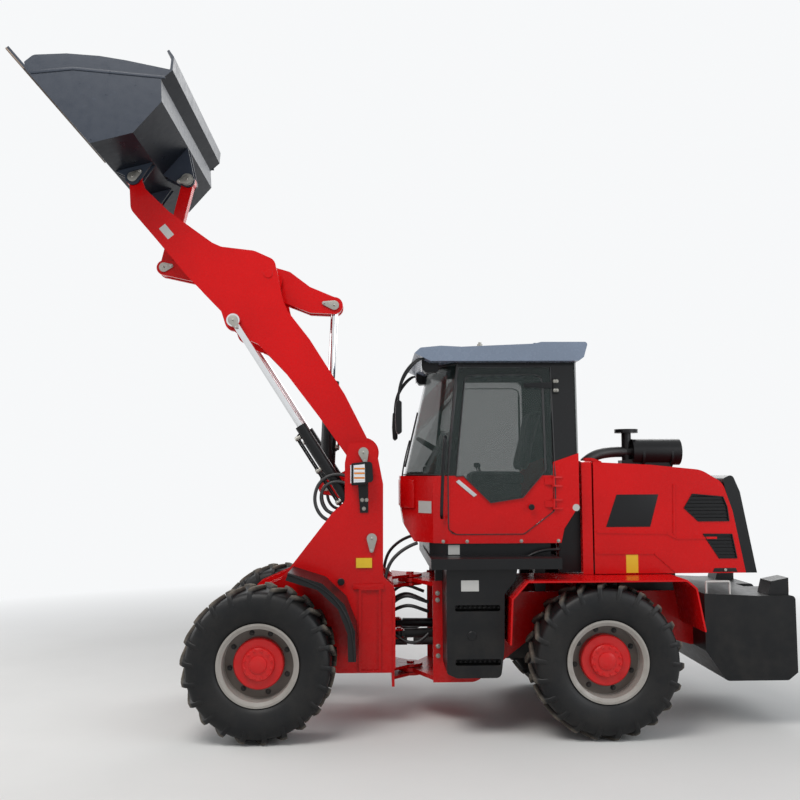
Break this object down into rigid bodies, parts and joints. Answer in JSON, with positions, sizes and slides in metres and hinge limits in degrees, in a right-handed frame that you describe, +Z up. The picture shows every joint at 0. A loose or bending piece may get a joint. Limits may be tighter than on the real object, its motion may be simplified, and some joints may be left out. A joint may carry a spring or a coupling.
{
  "type": "compact wheel loader",
  "caption": "Compact articulated wheel loader with a raised Z-bar boom, a digging bucket, an enclosed cab, a tilting hood and a rear counterweight.",
  "frame": {"origin": "on the ground, under the middle of the loader's overall length and width with the boom raised", "axes": "+X forward, +Y to the loader's left, +Z up"},
  "size_m": [5.66, 2, 4.8907],
  "materials": {
    "red_paint": "gloss red paint",
    "black_paint": "satin black paint",
    "bucket_steel": "dark grey-blue gloss paint, worn",
    "chrome": "hard chrome",
    "pin_steel": "zinc plated",
    "roof_paint": "light grey-blue paint",
    "glass": "tinted safety glass",
    "axle_paint": "painted castings",
    "rim_paint": "light grey paint",
    "tyre": "rubber",
    "lamp": "lamp housings",
    "cab_trim": "moulded plastic",
    "seat_fabric": "woven cloth"
  },
  "bodies": {
    "rear": {"rear_frame": "red_paint", "rear_axle": "axle_paint", "gearbox": "axle_paint", "engine": "axle_paint", "platform": "black_paint", "cab_skirt": "black_paint", "step_box": "black_paint", "tank_box": "black_paint", "rear_fenders": "red_paint", "counterweight": "black_paint", "tow_bracket": "black_paint", "tail_lamps": "lamp", "bulkhead": "red_paint", "cab_tub": "red_paint", "cab_pillars": "black_paint", "cab_roof": "roof_paint", "windscreen": "glass", "cab_glass": "glass", "cab_lamps": "lamp", "seat_base": "cab_trim", "seat_cushion": "seat_fabric", "console": "cab_trim", "mirrors": "black_paint"},
    "front": {"front_frame": "red_paint", "front_mudguards": "black_paint", "front_axle": "axle_paint", "headlamps": "lamp"},
    "boom": {"boom_arms": "red_paint", "boom_cross_tube": "red_paint"},
    "bucket_pins": {"bucket_pins": "pin_steel"},
    "bucket": {"bucket": "bucket_steel"},
    "bellcrank_pin": {"bellcrank_pin": "pin_steel"},
    "bellcrank": {"bellcrank": "red_paint"},
    "link_pin": {"link_pin": "pin_steel"},
    "tilt_link": {"tilt_link": "red_paint"},
    "tilt_base_pin": {"tilt_base_pin": "pin_steel"},
    "tilt_barrel": {"tilt_barrel": "black_paint"},
    "tilt_piston": {"tilt_piston": "pin_steel"},
    "tilt_rod": {"tilt_rod": "chrome"},
    "lift_barrels": {"lift_barrels": "black_paint"},
    "lift_rods": {"lift_rods": "chrome"},
    "steer_barrel_left": {"steer_barrel_left": "black_paint"},
    "steer_rod_left": {"steer_rod_left": "chrome"},
    "steer_barrel_right": {"steer_barrel_right": "black_paint"},
    "steer_rod_right": {"steer_rod_right": "chrome"},
    "door": {"door_panel": "red_paint", "door_frame": "black_paint", "door_glass": "glass"},
    "hood": {"hood": "red_paint", "hood_vents": "black_paint", "rear_grille": "black_paint", "air_cleaner": "black_paint"},
    "front_left_wheel": {"tyre_front_left": "tyre", "wheel_front_left": "rim_paint"},
    "front_right_wheel": {"tyre_front_right": "tyre", "wheel_front_right": "rim_paint"},
    "rear_left_wheel": {"tyre_rear_left": "tyre", "wheel_rear_left": "rim_paint"},
    "rear_right_wheel": {"tyre_rear_right": "tyre", "wheel_rear_right": "rim_paint"}
  },
  "joints": [
    {"name": "steering", "type": "hinge", "parent": "rear", "child": "front", "pos_m": [-0.046, 0, 0.675], "axis": [0, 0, 1], "range_deg": [-35, 35]},
    {"name": "boom_lift", "type": "hinge", "parent": "front", "child": "boom", "pos_m": [0.313, 0, 2.008], "axis": [0, -1, 0], "range_deg": [-92, 0]},
    {"name": "bucket_level", "type": "hinge", "parent": "boom", "child": "bucket_pins", "pos_m": [2.089, 0, 4.14], "axis": [0, -1, 0], "range_deg": [0, 70.5]},
    {"name": "bucket_tilt", "type": "hinge", "parent": "bucket_pins", "child": "bucket", "pos_m": [2.089, 0, 4.14], "axis": [0, 1, 0], "range_deg": [-6, 92]},
    {"name": "crank_level", "type": "hinge", "parent": "boom", "child": "bellcrank_pin", "pos_m": [1.046, 0, 3.391], "axis": [0, -1, 0], "range_deg": [-27.76, 0]},
    {"name": "crank_turn", "type": "hinge", "parent": "bellcrank_pin", "child": "bellcrank", "pos_m": [1.046, 0, 3.391], "axis": [0, -1, 0], "range_deg": [-2.31, 28.2]},
    {"name": "link_level", "type": "hinge", "parent": "bucket", "child": "link_pin", "pos_m": [1.732, 0, 4.217], "axis": [0, -1, 0], "range_deg": [-86.8, 0]},
    {"name": "link_turn", "type": "hinge", "parent": "link_pin", "child": "tilt_link", "pos_m": [1.732, 0, 4.217], "axis": [0, -1, 0], "range_deg": [-3.34, 44.03]},
    {"name": "tilt_base_turn", "type": "hinge", "parent": "front", "child": "tilt_base_pin", "pos_m": [0.614, 0, 1.743], "axis": [0, -1, 0], "range_deg": [-6.94, 0.92]},
    {"name": "tilt_swing", "type": "hinge", "parent": "tilt_base_pin", "child": "tilt_barrel", "pos_m": [0.614, 0, 1.743], "axis": [0, -1, 0], "range_deg": [-92.33, 0]},
    {"name": "tilt_piston_slide", "type": "slide", "parent": "tilt_barrel", "child": "tilt_piston", "axis": [-0.0448, 0, 0.999], "range_m": [-0.3276, 0]},
    {"name": "tilt_rod_slide", "type": "slide", "parent": "tilt_piston", "child": "tilt_rod", "axis": [-0.0448, 0, 0.999], "range_m": [-0.2089, 0.0155]},
    {"name": "lift_swing", "type": "hinge", "parent": "front", "child": "lift_barrels", "pos_m": [0.253, 0, 1.37], "axis": [0, -1, 0], "range_deg": [-78.44, 0]},
    {"name": "lift_slide", "type": "slide", "parent": "lift_barrels", "child": "lift_rods", "axis": [0.5371, 0, 0.8435], "range_m": [-0.8511, 0]},
    {"name": "steer_swing_left", "type": "hinge", "parent": "front", "child": "steer_barrel_left", "pos_m": [0.049, 0.26, 0.64], "axis": [0, 0, 1], "range_deg": [-29.63, 29.63]},
    {"name": "steer_slide_left", "type": "slide", "parent": "steer_barrel_left", "child": "steer_rod_left", "axis": [-0.9953, -0.0971, 0], "range_m": [-0.1492, 0.1492]},
    {"name": "steer_swing_right", "type": "hinge", "parent": "front", "child": "steer_barrel_right", "pos_m": [0.049, -0.26, 0.64], "axis": [0, 0, 1], "range_deg": [-29.63, 29.63]},
    {"name": "steer_slide_right", "type": "slide", "parent": "steer_barrel_right", "child": "steer_rod_right", "axis": [-0.9953, 0.0971, 0], "range_m": [-0.1492, 0.1492]},
    {"name": "door_hinge", "type": "hinge", "parent": "rear", "child": "door", "pos_m": [-1.084, 0.618, 1.8], "axis": [0, 0, 1], "range_deg": [0, 80]},
    {"name": "hood_hinge", "type": "hinge", "parent": "rear", "child": "hood", "pos_m": [-1.401, 0, 1.945], "axis": [0, 1, 0], "range_deg": [0, 40]},
    {"name": "front_left_roll", "type": "hinge", "parent": "front", "child": "front_left_wheel", "pos_m": [1.039, 0.75, 0.5375], "axis": [0, 1, 0], "continuous": true},
    {"name": "front_right_roll", "type": "hinge", "parent": "front", "child": "front_right_wheel", "pos_m": [1.039, -0.75, 0.5375], "axis": [0, 1, 0], "continuous": true},
    {"name": "rear_left_roll", "type": "hinge", "parent": "rear", "child": "rear_left_wheel", "pos_m": [-1.386, 0.75, 0.5375], "axis": [0, 1, 0], "continuous": true},
    {"name": "rear_right_roll", "type": "hinge", "parent": "rear", "child": "rear_right_wheel", "pos_m": [-1.386, -0.75, 0.5375], "axis": [0, 1, 0], "continuous": true}
  ],
  "couplings": [
    {"joint": "bucket_level", "follows": "boom_lift", "ratio": -0.76087},
    {"joint": "crank_level", "follows": "boom_lift", "ratio": 0.29628},
    {"joint": "crank_turn", "follows": "bucket_tilt", "ratio": 0.30108},
    {"joint": "link_level", "follows": "boom_lift", "ratio": 0.93801},
    {"joint": "link_turn", "follows": "bucket_tilt", "ratio": 0.47313},
    {"joint": "tilt_base_turn", "follows": "bucket_tilt", "ratio": -0.069962},
    {"joint": "tilt_swing", "follows": "boom_lift", "ratio": 0.99811},
    {"joint": "tilt_piston_slide", "follows": "boom_lift", "m_per_rad": 0.20279},
    {"joint": "tilt_rod_slide", "follows": "bucket_tilt", "m_per_rad": -0.12888},
    {"joint": "lift_swing", "follows": "boom_lift", "ratio": 0.84714},
    {"joint": "lift_slide", "follows": "boom_lift", "m_per_rad": 0.52882},
    {"joint": "steer_swing_left", "follows": "steering", "ratio": -0.8324},
    {"joint": "steer_slide_left", "follows": "steering", "m_per_rad": -0.24094},
    {"joint": "steer_swing_right", "follows": "steering", "ratio": -0.8324},
    {"joint": "steer_slide_right", "follows": "steering", "m_per_rad": 0.24094}
  ]
}
